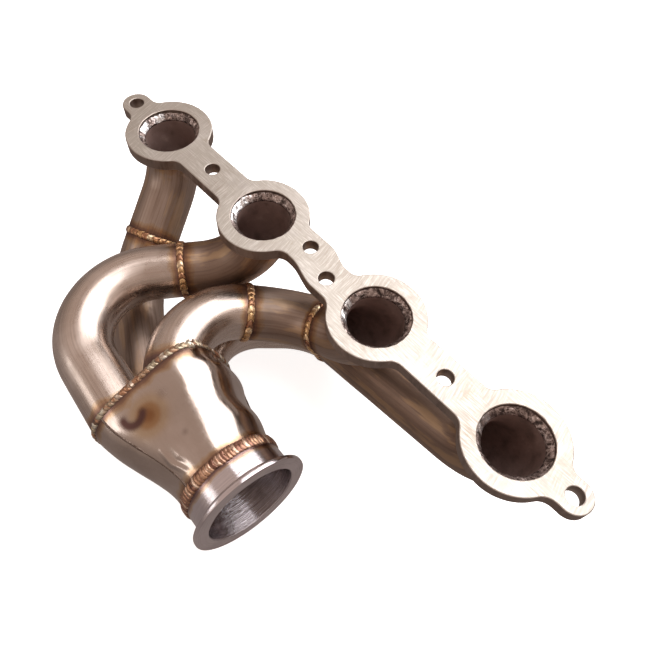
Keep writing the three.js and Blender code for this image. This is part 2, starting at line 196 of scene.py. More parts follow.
def join_loops(bm, loops):
    """Walls between closed loops of points. Returns the rings of vertices, and the edges round the
    first and the last of them."""
    rings = [[bm.verts.new(Vector(p) * MM) for p in points] for points in loops]
    for upper, lower in zip(rings, rings[1:]):
        for i in range(len(upper)):
            j = (i + 1) % len(upper)
            bm.faces.new((upper[i], upper[j], lower[j], lower[i]))
    return rings, [[bm.edges.get((ring[i], ring[(i + 1) % len(ring)])) for i in range(len(ring))]
            for ring in (rings[0], rings[-1])]


def cut_plane(bm, point, normal, verts=None):
    """Removes what is past the plane, among the given vertices or all of them, and closes the cut."""
    kept = set(verts or bm.verts)
    whole = [part for part in (*bm.edges, *bm.faces) if kept.issuperset(part.verts)]
    geometry = list(kept) + whole
    cut = bmesh.ops.bisect_plane(bm, geom=geometry, plane_co=Vector(point) * MM,
            plane_no=Vector(normal), clear_outer=True)["geom_cut"]
    edges = [e for e in cut if isinstance(e, bmesh.types.BMEdge)]
    if edges:
        bmesh.ops.triangle_fill(bm, edges=edges, use_beauty=True)


# ---- Collector frame ----

OUTLET_MOUNT = next(m for m in frame["record"]["mounts"] if m["name"] == "outlet_face")
AXIS = unit(OUTLET_MOUNT["axis"])
YAW = math.atan2(AXIS[1], AXIS[0])
PITCH = math.asin(AXIS[2])
COLLECTOR_TURN = Euler((0.0, -PITCH, YAW), "XYZ").to_matrix()
FACE_POINT = 36.0   # the mount's point is on the ring's face, this far up from the outlet's centre
OUTLET = (Vector(OUTLET_MOUNT["pos_m"]) / MM) - COLLECTOR_TURN @ Vector((0, 0, FACE_POINT))


def from_collector(points):
    """Collector-frame millimetres to row-frame millimetres."""
    m = np.array(COLLECTOR_TURN)
    return np.asarray(points, float) @ m.T + np.array(OUTLET)


def to_collector(points):
    """Row-frame millimetres to collector-frame millimetres."""
    m = np.array(COLLECTOR_TURN)
    return (np.asarray(points, float) - np.array(OUTLET)) @ m


def from_inlet(y, z):
    """The inlet's own rows and columns to the collector frame's Y and Z."""
    c, s = math.cos(INLET_ROLL), math.sin(INLET_ROLL)
    return y * c - z * s + INLET_OFFSET[0], y * s + z * c + INLET_OFFSET[1]


INLET_POINT = from_collector([INLET_AT - GAP, 0, 0])


# ---- Runner routes ----

ASKEW = (0.31, 0.86, 0.41)  # a direction that no route runs along, to start a ring's cross directions


def runner_corners(index):
    """A runner's centreline as straights that meet at sharp corners, from port to past its inlet."""
    runner = RUNNERS[index]
    port = np.array(port_centre(index))
    column, row = runner["spot"]
    spot = from_inlet(INLET_COLUMNS[column], row * INLET_ROW_OFFSET)
    end = from_collector([INLET_AT - GAP, *spot])
    yaw, pitch = math.radians(runner["yaw"]), math.radians(runner["pitch"])
    heading = np.array(COLLECTOR_TURN) @ np.array(
        [math.cos(pitch) * math.cos(yaw), math.cos(pitch) * math.sin(yaw), math.sin(pitch)])
    return [port, port - np.array([0, 0, runner["drop"]]), *(np.array(m, float) for m in runner["middle"]),
            end - heading * runner["approach"], end + heading * 2 * TUBE_RADIUS]


class Route:
    """A tube's centreline: the corners of its route, each rounded to the bend radius."""

    def __init__(self, index):
        corners = runner_corners(index)
        headings = [unit(b - a) for a, b in zip(corners, corners[1:])]
        self.stretches = []
        self.length = 0.0
        start = corners[0]
        for i, direction in enumerate(headings):
            following = headings[i + 1] if i + 1 < len(headings) else direction
            angle = math.acos(min(1.0, direction @ following))
            setback = BEND_RADIUS * math.tan(angle / 2)
            start = self.add(np.linalg.norm(corners[i + 1] - start) - setback, 0.0, start, direction,
                    np.zeros(3))
            if angle > 0:
                side = unit(following - direction * (following @ direction))
                start = self.add(BEND_RADIUS * angle, angle, start, direction, side)

    def add(self, length, angle, start, direction, side):
        self.stretches.append((self.length, length, angle, start, direction, side))
        self.length += length
        return self.at(self.length)[0]

    def stretch_at(self, distance):
        return [s for s in self.stretches if s[0] <= distance + 1e-6][-1]

    def at(self, distance):
        """The point and the heading at a distance along the route."""
        start, _, angle, position, direction, side = self.stretch_at(distance)
        along = distance - start
        if angle == 0.0:
            return position + direction * along, direction
        turned = along / BEND_RADIUS
        point = (position + side * BEND_RADIUS * (1 - math.cos(turned))
                + direction * BEND_RADIUS * math.sin(turned))
        return point, direction * math.cos(turned) + side * math.sin(turned)

    def bend_at(self, distance):
        """1 in the middle of a bend and 0 at its ends, and the way to its inside. Zeros in a straight."""
        start, length, angle, _, direction, side = self.stretch_at(distance)
        if angle == 0.0:
            return 0.0, side
        share = (distance - start) / length
        turned = (distance - start) / BEND_RADIUS
        inside = side * math.cos(turned) - direction * math.sin(turned)
        return math.sin(math.pi * min(max(share, 0.0), 1.0)) ** 0.5, inside

    def frames(self, distances):
        """Points, tangents and two carried cross directions at each distance."""
        tangent = self.at(distances[0])[1]
        first = unit(np.cross(tangent, ASKEW))
        made = []
        for distance in distances:
            point, new_tangent = self.at(distance)
            axis = np.cross(tangent, new_tangent)
            size = np.linalg.norm(axis)
            if size > 1e-9:
                first = turn(first, axis / size, math.asin(min(1.0, size)))
            tangent = new_tangent
            first = unit(first - tangent * (first @ tangent))
            made.append((point, tangent, first, np.cross(tangent, first)))
        return made


ROUTES = [Route(i) for i in range(4)]


# ---- Materials ----

def set_stops(ramp, stops):
    while len(ramp.elements) < len(stops):
        ramp.elements.new(1.0)
    for element, (at, colour) in zip(ramp.elements, stops):
        element.position = at
        element.color = (*colour, 1.0)


class Nodes:
    """A short way to wire one material, or the world."""

    def __init__(self, name, kind=bpy.data.materials, shader="Principled BSDF"):
        self.owner = kind.new(name)
        self.owner.use_nodes = True
        self.tree = self.owner.node_tree
        self.shader = self.tree.nodes[shader]

    def feed(self, node, inputs):
        """A link or a constant for each input."""
        for key, value in inputs.items():
            if isinstance(value, bpy.types.NodeSocket):
                self.tree.links.new(value, node.inputs[key])
            else:
                node.inputs[key].default_value = value

    def node(self, kind, inputs={}, **settings):
        made = self.tree.nodes.new("ShaderNode" + kind)
        for key, value in settings.items():
            setattr(made, key, value)
        self.feed(made, inputs)
        return made

    def fact(self, name, vector=False):
        return self.node("Attribute", attribute_name=name).outputs["Vector" if vector else "Fac"]

    def noise(self, vector, scale, detail=4.0, roughness=0.55, distortion=0.0):
        return self.node("TexNoise", {"Vector": vector, "Scale": scale, "Detail": detail,
                "Roughness": roughness, "Distortion": distortion}).outputs["Fac"]

    def streaks(self, vector, scale, detail, roughness):
        """Noise with a scale of its own along each axis."""
        stretched = self.node("Mapping", {"Vector": vector, "Scale": scale})
        return self.noise(stretched.outputs["Vector"], 1.0, detail, roughness)

    def cells(self, vector, scale):
        return self.node("TexVoronoi", {"Vector": vector, "Scale": scale}).outputs["Distance"]

    def math(self, operation, a, b=0.0, c=0.0, clamp=False):
        return self.node("Math", {0: a, 1: b, 2: c}, operation=operation, use_clamp=clamp).outputs[0]

    def times(self, a, b):
        return self.math("MULTIPLY", a, b)

    def plus(self, a, b):
        return self.math("ADD", a, b)

    def span(self, value, low, high, to_low=0.0, to_high=1.0):
        return self.node("MapRange", {"Value": value, 1: low, 2: high, 3: to_low, 4: to_high},
                interpolation_type="SMOOTHSTEP").outputs["Result"]

    def ramp(self, value, stops):
        made = self.node("ValToRGB", {"Fac": value})
        made.color_ramp.interpolation = "EASE"
        set_stops(made.color_ramp, stops)
        return made.outputs["Color"]

    def mix(self, factor, a, b, blend="MIX"):
        a, b = ((*v, 1.0) if isinstance(v, tuple) else v for v in (a, b))
        return self.node("Mix", {0: factor, 6: a, 7: b}, data_type="RGBA", blend_type=blend).outputs[2]

    def bump(self, height, distance, strength):
        return self.node("Bump", {"Height": height, "Distance": distance,
                "Strength": strength}).outputs["Normal"]

    def place(self):
        return self.node("TexCoord").outputs["Object"]

    def facing_up(self):
        """How far up the surface faces in the row frame, from -1 to 1."""
        return self.node("SeparateXYZ", {0: self.node("TexCoord").outputs["Normal"]}).outputs[2]

    def finish(self, colour, roughness, normal, metallic=1.0):
        self.feed(self.shader, {"Base Color": colour, "Roughness": roughness, "Normal": normal,
                "Metallic": metallic})
        return self.owner


def heat_tint(n, base, place, reach):
    """Oxide colours of stainless steel beside a weld, from the distance to the weld in mm."""
    drift = n.noise(place, 75.0, 4.0, 0.6)
    spread = n.math("MULTIPLY_ADD", drift, 1.5, 0.25)
    reached = n.math("DIVIDE", n.fact("weld"), n.times(spread, reach), clamp=True)
    tint = n.ramp(reached, [
        (0.0, (0.24, 0.165, 0.15)), (0.24, (0.36, 0.26, 0.25)), (0.44, (0.54, 0.39, 0.31)),
        (0.62, (0.80, 0.63, 0.46)), (0.82, (0.96, 0.88, 0.75)), (1.0, (1.0, 1.0, 1.0))])
    return n.mix(1.0, base, tint, "MULTIPLY")


def tube_material():
    """Brushed stainless: the runner's own coordinates carry the streaks, and flame where it tells. Pieces
    other than the U-bends are drawn darker, browner and rougher: partly a duller finish, partly painted
    shade.
    """
    n = Nodes("polished_tube")
    place = n.place()
    run = n.fact("tube", vector=True)
    patches = n.noise(place, 20.0, 5.0, 0.62)
    base = n.ramp(patches, [(0.28, (0.54, 0.445, 0.39)), (0.5, (0.65, 0.55, 0.49)),
            (0.72, (0.76, 0.66, 0.60))])
    dull_and_shaded = n.fact("dull_and_shaded")
    # Painted shade, partly a duller finish: pieces other than the U-bends are darkened toward deep brown.
    base = n.mix(n.times(dull_and_shaded, 0.72), base, (0.26, 0.175, 0.13))
    streaks = n.streaks(run, (0.012, 0.55, 0.55), 4.0, 0.6)
    streaked = n.math("MULTIPLY_ADD", dull_and_shaded, 0.35, 0.22)
    base = n.mix(n.times(n.span(streaks, 0.36, 0.56, 1.0, 0.0), streaked), base,
            (0.20, 0.14, 0.11))
    straw = n.streaks(run, (0.02, 0.13, 0.13), 3.0, 0.6)
    straw = n.times(n.span(straw, 0.50, 0.62), n.math("MULTIPLY_ADD", dull_and_shaded, 0.32, 0.06))
    base = n.mix(straw, base, (0.58, 0.39, 0.22))
    drawn = n.streaks(run, (0.05, 2.4, 2.4), 3.0, 0.6)
    base = n.mix(n.span(drawn, 0.40, 0.60, 0.16, 0.0), base, (0.30, 0.24, 0.20))
    bands = n.streaks(run, (0.34, 0.03, 0.03), 5.0, 0.7)
    arcs = n.times(n.span(bands, 0.48, 0.60), n.span(n.fact("flame"), 0.05, 0.8))
    base = n.mix(n.times(arcs, 0.8), base, (0.52, 0.30, 0.12))
    purple = n.times(n.span(bands, 0.46, 0.34), n.span(n.fact("flame"), 0.2, 0.9))
    base = n.mix(n.times(purple, 0.5), base, (0.33, 0.24, 0.25))
    speck = n.times(n.span(n.cells(place, 620.0), 0.06, 0.15, 1.0, 0.0),
            n.span(n.noise(place, 60.0, 2.0), 0.63, 0.70))
    base = n.mix(speck, base, (0.10, 0.07, 0.05))
    colour = heat_tint(n, base, place, 10.5)
    smudge = n.span(n.noise(place, 42.0, 5.0, 0.7), 0.42, 0.75, 0.0, 0.12)
    near = n.span(n.fact("weld"), 1.5, 8.0, 0.14, 0.0)
    rough = n.plus(n.plus(n.span(drawn, 0.35, 0.7, 0.24, 0.29), smudge), near)
    rough = n.math("MULTIPLY_ADD", dull_and_shaded, 0.17, rough)
    height = n.plus(n.times(drawn, 0.12), n.times(speck, -0.8))
    return n.finish(colour, rough, n.bump(height, 0.0002, 0.28))


def bore_material():
    n = Nodes("sooty_bore")
    place = n.place()
    grime = n.noise(place, 70.0, 6.0, 0.65)
    colour = n.ramp(grime, [(0.3, (0.19, 0.125, 0.108)), (0.55, (0.31, 0.21, 0.186)),
            (0.75, (0.43, 0.315, 0.28))])
    smear = n.times(n.span(n.noise(place, 85.0, 5.0, 0.7, 2.0), 0.56, 0.66),
            n.span(n.noise(place, 24.0, 2.0), 0.50, 0.60))
    colour = n.mix(n.times(smear, 0.7), colour, (0.34, 0.25, 0.22))
    rough = n.span(grime, 0.3, 0.7, 0.42, 0.6)
    return n.finish(colour, rough, n.bump(grime, 0.0006, 0.3), 0.3)


def flange_material():
    n = Nodes("ground_flange")
    place = n.place()
    on_face = n.span(n.math("ABSOLUTE", n.facing_up()), 0.75, 0.97)
    patches = n.noise(place, 16.0, 5.0, 0.62)
    face = n.ramp(patches, [(0.3, (0.37, 0.325, 0.28)), (0.5, (0.45, 0.41, 0.365)),
            (0.72, (0.54, 0.50, 0.46))])
    stain = n.span(n.noise(place, 42.0, 7.0, 0.72, 0.8), 0.56, 0.70)
    face = n.mix(n.times(stain, 0.38), face, (0.36, 0.29, 0.21))
    handled = n.span(n.noise(place, 26.0, 5.0, 0.7, 0.5), 0.58, 0.66)
    face = n.mix(n.times(handled, 0.35), face, (0.44, 0.40, 0.38))
    wheel = n.node("VectorRotate", {"Vector": place, "Angle": math.radians(-12)}, rotation_type="Z_AXIS")
    shift = n.node("CombineXYZ", {"X": n.times(n.noise(place, 30.0, 1.0), 0.006)})
    curl = n.node("VectorMath", {0: wheel.outputs[0], 1: shift.outputs[0]}, operation="ADD")
    strokes = n.streaks(curl.outputs[0], (950.0, 60.0, 1.0), 4.0, 0.7)
    along = n.streaks(place, (85.0, 1300.0, 1.0), 3.0, 0.62)
    zone = n.span(n.noise(place, 21.0, 2.0), 0.44, 0.56)
    grind = n.mix(zone, strokes, along)
    face = n.mix(n.span(grind, 0.48, 0.64, 0.0, 0.5), face, (0.70, 0.67, 0.63))
    face = n.mix(n.span(grind, 0.34, 0.48, 0.34, 0.0), face, (0.36, 0.31, 0.26))
    saw = n.streaks(place, (260.0, 260.0, 60.0), 4.0, 0.62)
    edge = n.ramp(saw, [(0.3, (0.20, 0.15, 0.125)), (0.55, (0.29, 0.225, 0.19)),
            (0.75, (0.40, 0.32, 0.28))])
    edge = n.mix(n.span(n.fact("rub"), 0.2, 0.9, 0.0, 0.55), edge, (0.66, 0.58, 0.52))
    colour = n.mix(on_face, edge, face)
    rough_face = n.span(grind, 0.35, 0.65, 0.54, 0.45)
    rough_edge = n.span(saw, 0.3, 0.7, 0.42, 0.58)
    rough = n.mix(on_face, rough_edge, rough_face)
    height = n.mix(on_face, saw, grind)
    return n.finish(colour, rough, n.bump(height, 0.0003, 0.26))


def weld_material(name, colours, rough_low=0.2, rough_high=0.42):
    """colours: dark, copper, gold and bright. Each ripple of the bead takes its own mixture, and the dark
    colour also paints shade into the bead's hollows and toes.
    """
    n = Nodes(name)
    place = n.place()
    dark, copper, gold, bright = colours
    speckle = n.noise(place, 330.0, 4.0, 0.6, 0.4)
    shade = n.plus(n.times(n.fact("blob"), 0.55), n.times(speckle, 0.62))
    colour = n.ramp(shade, [(0.24, dark), (0.42, copper), (0.62, gold), (0.86, bright)])
    colour = n.mix(n.span(n.noise(place, 48.0, 3.0), 0.46, 0.62, 0.0, 0.55), colour, copper)
    # Painted shade: where the crown is low, between ripples and at the bead's toes, the colour is pulled
    # toward the dark one.
    out_of_hollow_shade = n.span(n.fact("crown"), 0.10, 0.62)
    colour = n.mix(out_of_hollow_shade, n.mix(0.75, colour, dark), colour)
    rough = n.span(n.noise(place, 420.0, 4.0), 0.3, 0.7, rough_low, rough_high)
    normal = n.bump(n.noise(place, 700.0, 4.0, 0.6), 0.0004, 0.3)
    return n.finish(colour, rough, normal, 0.9)


def shell_material():
    n = Nodes("polished_shell")
    place = n.place()
    run = n.fact("tube", vector=True)
    patches = n.noise(place, 24.0, 4.0, 0.55)
    base = n.ramp(patches, [(0.3, (0.46, 0.38, 0.335)), (0.5, (0.54, 0.455, 0.405)),
            (0.75, (0.64, 0.555, 0.51))])
    haze = n.streaks(run, (0.05, 0.5, 0.5), 4.0, 0.6)
    base = n.mix(n.span(haze, 0.42, 0.68, 0.0, 0.16), base, (0.42, 0.33, 0.28))
    colour = heat_tint(n, base, place, 9.0)
    halo = n.ramp(n.fact("halo"), [(0.0, (1.0, 1.0, 1.0)), (0.35, (0.98, 0.89, 0.72)),
            (0.7, (0.82, 0.59, 0.36)), (1.0, (0.62, 0.37, 0.20))])
    colour = n.mix(1.0, colour, halo, "MULTIPLY")
    scorch = n.fact("scorch")
    colour = n.mix(n.span(scorch, 0.05, 1.0), colour, (0.13, 0.07, 0.062))
    rough = n.plus(n.span(haze, 0.3, 0.7, 0.13, 0.19),
            n.span(n.noise(place, 60.0, 5.0, 0.7), 0.45, 0.75, 0.0, 0.09))
    rough = n.plus(rough, n.times(scorch, 0.16))
    return n.finish(colour, rough, n.bump(haze, 0.0002, 0.2))


def outlet_material():
    n = Nodes("machined_outlet")
    place = n.place()
    rings = n.streaks(n.fact("lathe", vector=True), (1.25, 0.0, 0.16), 6.0, 0.78)
    base = n.ramp(n.noise(place, 30.0, 4.0), [(0.3, (0.60, 0.545, 0.56)), (0.55, (0.71, 0.655, 0.675)),
            (0.75, (0.82, 0.77, 0.79))])
    turned = n.fact("turned")
    # The dark rings are partly real lathe lines and partly painted shade: at full weight in the bore they
    # darken it as shade falls there.
    base = n.mix(n.times(n.span(rings, 0.44, 0.60, 0.0, 0.6), turned), base,
            (0.22, 0.18, 0.185))
    colour = heat_tint(n, base, place, 5.0)
    rough = n.span(rings, 0.35, 0.65, 0.07, 0.18)
    return n.finish(colour, rough, n.bump(n.times(rings, turned), 0.0009, 0.55))


def port_weld_material():
    n = Nodes("rough_port_weld")
    place = n.place()
    torn = n.noise(place, 120.0, 5.0, 0.62, 2.4)
    colour = n.ramp(torn, [(0.36, (0.05, 0.036, 0.032)), (0.47, (0.13, 0.095, 0.085)),
            (0.55, (0.34, 0.265, 0.24)), (0.66, (0.66, 0.56, 0.53))])
    loop = n.span(n.math("ABSOLUTE", n.math("SUBTRACT", n.noise(place, 95.0, 3.0, 0.5, 2.2), 0.5)),
            0.0, 0.028, 1.0, 0.0)
    colour = n.mix(n.times(loop, 0.8), colour, (0.62, 0.50, 0.46))
    # Painted highlight: near-white colour over torn patches on the same side of every port weld.
    lit = n.span(n.fact("side_highlight"), 0.08, 0.5)
    colour = n.mix(lit, colour, n.ramp(torn, [(0.36, (0.16, 0.14, 0.13)), (0.45, (0.82, 0.80, 0.80)),
            (0.60, (1.0, 0.99, 0.99))]))
    rough = n.math("SUBTRACT", n.span(torn, 0.4, 0.65, 0.48, 0.24), n.times(lit, 0.12))
    return n.finish(colour, rough, n.bump(torn, 0.0012, 0.55), 0.9)


TUBE = tube_material()
BORE = bore_material()
FLANGE = flange_material()
SHELL = shell_material()
OUTLET_METAL = outlet_material()
TORN_WELD = port_weld_material()
GOLD_WELD = weld_material("gold_weld", [(0.12, 0.065, 0.045), (0.40, 0.20, 0.115),
        (0.62, 0.39, 0.19), (0.86, 0.70, 0.48)])
INLET_WELD = weld_material("grey_gold_weld", [(0.10, 0.08, 0.07), (0.42, 0.22, 0.13),
        (0.50, 0.43, 0.31), (0.74, 0.69, 0.60)], 0.26, 0.55)
SEAM_WELD = weld_material("seam_weld", [(0.12, 0.085, 0.07), (0.22, 0.16, 0.13),
        (0.34, 0.27, 0.23), (0.46, 0.38, 0.33)], 0.2, 0.35)
COPPER_WELD = weld_material("copper_weld", [(0.11, 0.06, 0.045), (0.28, 0.14, 0.10),
        (0.50, 0.29, 0.18), (0.82, 0.62, 0.48)])


# ---- Head flange ----

UNDERSIDE = -9.5
BOSS_RADIUS = 32.8
EAR_X = 209.0
EAR_Y = -1.0
EAR_RADIUS = 11.0
NECK_TOP, NECK_BOTTOM = 13.7, 14.2
CENTRE_HIGH, CENTRE_LOW = 17.0, 11.4
CENTRE_SHALLOW, CENTRE_DEEP = 10.3, 15.8
TOP_FILLET, BOTTOM_FILLET = 8.0, 10.0
BOLT_HOLES = [(-EAR_X, EAR_Y), (-113.5, 0), (-12.8, 5.6), (13.2, -4), (113.8, 0), (EAR_X, EAR_Y)]
BOLT_RADIUS = 5.4
PORT_RADIUS, PORT_DEPTH, SOCKET_RADIUS = 22.7, 7.0, 21.4
RAGGED_SIZE, RAGGED_BY = 9.0, 0.16
RUB_DEPTH = 0.5
SHORTEST_SIDE = 0.4
# Each edge's section: how far in from the wall, and how far down from the gasket face.
BEVEL = [(0.75, 0.0), (0.28, -0.22), (0.0, -0.8), (0.0, UNDERSIDE + 0.8),
        (0.28, UNDERSIDE + 0.22), (0.75, UNDERSIDE)]
BOLT_EDGE = [(0.6, 0.0), (0.15, -0.2), (0.0, -0.6), (0.0, UNDERSIDE + 0.4), (0.4, UNDERSIDE)]


def arc(x, y, radius, start, end, step=4.0):
    """Points along an arc, at most step degrees apart."""
    steps = max(2, math.ceil(abs(end - start) / math.radians(step)))
    angles = [start + (end - start) * i / steps for i in range(steps + 1)]
    return [(x + radius * math.cos(a), y + radius * math.sin(a)) for a in angles]


def boss_side(x, edge, before, after, fillet):
    """One side of a port's boss, with a fillet at each end. before and after are how far the edge lies
    from the row of ports on the way in and on the way out."""
    reach = BOSS_RADIUS + fillet
    first = math.asin((before + fillet) / reach)
    last = math.asin((after + fillet) / reach)
    base = 0.0 if edge > 0 else math.pi
    a, b = base + math.pi - first, base + last
    return (arc(x + reach * math.cos(a), reach * math.sin(a), fillet, base - math.pi / 2, base - first)
            + arc(x, 0, BOSS_RADIUS, a, b)
            + arc(x + reach * math.cos(b), reach * math.sin(b), fillet,
            base + math.pi + last, base + 1.5 * math.pi))


def ease(start, end, steps=14):
    """An S-shaped step between two points of the outline."""
    return [(start[0] + (end[0] - start[0]) * t, start[1] + (end[1] - start[1]) * t * t * (3 - 2 * t))
            for t in (i / steps for i in range(steps + 1))]


def flange_outline():
    ports = [port_centre(i).x for i in range(4)]
    half = math.pi / 2
    top, bottom = EAR_RADIUS + EAR_Y, EAR_RADIUS - EAR_Y
    upper = [boss_side(x, 1, before, after, TOP_FILLET) for x, before, after in zip(
        ports, (top, NECK_TOP, CENTRE_LOW, NECK_TOP), (NECK_TOP, CENTRE_HIGH, NECK_TOP, top))]
    lower = [boss_side(x, -1, before, after, BOTTOM_FILLET) for x, before, after in zip(
        ports[::-1], (bottom, NECK_BOTTOM, CENTRE_SHALLOW, NECK_BOTTOM),
        (NECK_BOTTOM, CENTRE_DEEP, NECK_BOTTOM, bottom))]
    line = (arc(-EAR_X, EAR_Y, EAR_RADIUS, 3 * half, half) + upper[0] + upper[1]
            + ease((-4, CENTRE_HIGH), (16, CENTRE_LOW)) + upper[2] + upper[3]
            + arc(EAR_X, EAR_Y, EAR_RADIUS, half, -half) + lower[0] + lower[1]
            + ease((11, -CENTRE_DEEP), (-15, -CENTRE_SHALLOW)) + lower[2] + lower[3])
    kept = [line[0]]
    for point in line[1:]:
        if math.dist(point, kept[-1]) > SHORTEST_SIDE:
            kept.append(point)
    return kept if math.dist(kept[0], kept[-1]) > SHORTEST_SIDE else kept[:-1]


def inset_loop(loop, amount):
    """The loop moved inwards, towards its material, by amount. The outline runs clockwise."""
    pts = np.array(loop)
    ahead, behind = np.roll(pts, -1, 0), np.roll(pts, 1, 0)
    along = ahead - behind
    along /= np.linalg.norm(along, axis=1)[:, None]
    return pts + np.stack([along[:, 1], -along[:, 0]], 1) * amount


def build_flange():
    bm = bmesh.new()
    rub = bm.verts.layers.float.new("rub")
    top_edges, bottom_edges = [], []

    def wall(loops):
        """loops: (points, z) from the top face down to the bottom face."""
        rings, ends = join_loops(bm, [[(x, y, z) for x, y in points] for points, z in loops])
        for ring, (_, z) in zip(rings, loops):
            for vert in ring:
                vert[rub] = 1.0 if min(-z, z - UNDERSIDE) < RUB_DEPTH else 0.0
        top_edges.extend(ends[0])
        bottom_edges.extend(ends[1])

    outline = np.array(flange_outline())
    ragged = outline.copy()
    for i, (x, y) in enumerate(outline):
        ragged[i] += np.array([wobble((x, y, 0), RAGGED_SIZE, seed) for seed in (1, 2)]) * RAGGED_BY
    wall([(inset_loop(ragged, inset), z) for inset, z in BEVEL])
    for x, y in BOLT_HOLES:
        wall([(arc(x, y, BOLT_RADIUS + wider, 0, 2 * math.pi, 7.5)[:-1], z) for wider, z in BOLT_EDGE])
    for index in range(4):
        centre = port_centre(index)

        def rim(radius, ragged_by=0.0):
            loop = []
            for x, y in arc(0, 0, 1, 0, 2 * math.pi, 3.0)[:-1]:
                r = radius + ragged_by * wobble((x * 22, y * 22, index * 9), 3.0, 3)
                loop.append((centre.x + x * r, centre.y + y * r))
            return loop

        wall([(rim(PORT_RADIUS + 0.55, 0.35), 0.0), (rim(PORT_RADIUS + 0.12, 0.2), -0.3),
              (rim(PORT_RADIUS), -1.0), (rim(PORT_RADIUS), -PORT_DEPTH),
              (rim(SOCKET_RADIUS), -PORT_DEPTH), (rim(SOCKET_RADIUS), UNDERSIDE + 0.4),
              (rim(SOCKET_RADIUS + 0.4), UNDERSIDE)])
    for edges in (top_edges, bottom_edges):
        bmesh.ops.triangle_fill(bm, edges=edges, use_beauty=True)
    make_object("flange_plate", bm, [FLANGE], ["head_flange"], 20.0)


# ---- Runners ----

PORT_HEAT = 75.0    # how far from the port a tube is flamed
PORT_TINT, PORT_TINT_RATE = 2, 0.3
# How much darker and rougher each runner's pieces other than its U-bend are drawn: partly a duller finish,
# partly painted shade.
DULL_AND_SHADE = [0.95, 1.3, 1.05, 1.3]
TUBE_SIDES, TUBE_STEP = 64, 2.6
HALF_JOINT = 0.1    # half the gap between two lengths of tube, under their bead
FLATTENING = 0.28   # how far the inside and the outside of a bend are drawn in
LUMP_SIZE, LUMP_HEIGHT = 34.0, 0.10
BUTT_RIPPLES = 27
# Where round each port weld the painted highlight sits, how far it spreads, and how strong it is on each
# port.
HIGHLIGHT_ANGLE, HIGHLIGHT_REACH = math.radians(200), 0.62
HIGHLIGHT_STRENGTH = [1.0, 1.0, 1.0, 0.35]


def build_tube(index, number):
    route, runner = ROUTES[index], RUNNERS[index]
    piece = runner["pieces"][number]
    is_last = number == len(runner["pieces"]) - 1
    cuts = [TUBE_TOP / 2, *runner["welds"], route.length]
    start = cuts[number] + (HALF_JOINT if number else 0.0)
    end = route.length if is_last else cuts[number + 1] - HALF_JOINT
    steps = max(4, int((end - start) / TUBE_STEP))
    distances = [start + (end - start) * i / steps for i in range(steps + 1)]
    ends = list(runner["welds"]) + [route.length - 2 * TUBE_RADIUS]
    angles = around(TUBE_SIDES)
    outer, inner, run, weld, flame = [], [], [], [], []
    for (point, _, a, b), distance in zip(route.frames(distances), distances):
        ring = np.outer(np.cos(angles), a) + np.outer(np.sin(angles), b)
        bend, inside = route.bend_at(distance)
        squeeze = (ring @ inside) ** 2
        lumps = np.array([wobble(point + out * TUBE_RADIUS, LUMP_SIZE, index) for out in ring])
        radius = TUBE_RADIUS - FLATTENING * bend * squeeze + LUMP_HEIGHT * lumps
        outer.append(point + ring * radius[:, None])
        inner.append(point + ring * (TUBE_RADIUS - TUBE_WALL))
        run.append(np.stack([np.full(TUBE_SIDES, distance), np.cos(angles) * TUBE_RADIUS,
                np.sin(angles) * TUBE_RADIUS], 1))
        from_port = distance - TUBE_TOP
        nearest = min([abs(distance - e) for e in ends] + [PORT_TINT + from_port * PORT_TINT_RATE])
        weld.append(np.full(TUBE_SIDES, nearest))
        flame.append(np.full(TUBE_SIDES, 1.0 - smooth(PORT_HEAT * 0.3, PORT_HEAT, from_port)))
    points = np.array(outer + inner[::-1])
    dull_and_shaded = np.full(points.shape[:2], 0.0 if piece == "u_bend" else DULL_AND_SHADE[index])
    bm = grid_bmesh(points, {"tube": np.array(run + run[::-1]), "weld": np.array(weld + weld[::-1]),
            "flame": np.array(flame + flame[::-1]), "dull_and_shaded": dull_and_shaded})
    line_inside(bm, len(outer), TUBE_SIDES)
    if number == 0:
        cut_plane(bm, (0, 0, -TUBE_TOP), (0, 0, 1))
    if is_last:
        place = bm.verts.layers.float_vector["tube"]
        tip = [v for v in bm.verts if v[place].x > route.length - 4 * TUBE_RADIUS]
        cut_plane(bm, INLET_POINT, AXIS, tip)
    name = "runner_%d_%s" % (index + 1, piece)
    make_object(name + "_tube", bm, [TUBE, BORE], [name], 35.0)


def chance(number, seed):
    """A fixed number from 0 to 1 for a whole number and a seed."""
    return 0.5 + 0.5 * math.sin(number * 12.9898 + seed * 78.233) * math.cos(number * 4.1414 + seed)


RIPPLE_SWEEP, RIPPLE_SWING, SWING_RATE, RIPPLE_STEEP = 0.45, 0.16, 0.7, 0.30
BEAD_LANES = 15
BEAD_RING = 20      # the radius of the ring in noise space that a bead's unevenness is read along


def dimes(phase, across, seed):
    """The overlapping ripples of a hand-laid bead: height from 0 to 1, and each ripple's own shade."""
    swing = phase + RIPPLE_SWEEP * across ** 2 + RIPPLE_SWING * math.sin(phase * SWING_RATE + seed)
    share = swing % 1.0
    rise = share / RIPPLE_STEEP if share < RIPPLE_STEEP else (1 - share) / (1 - RIPPLE_STEEP)
    return math.sqrt(1 - (1 - rise) ** 2), chance(math.floor(swing), seed)


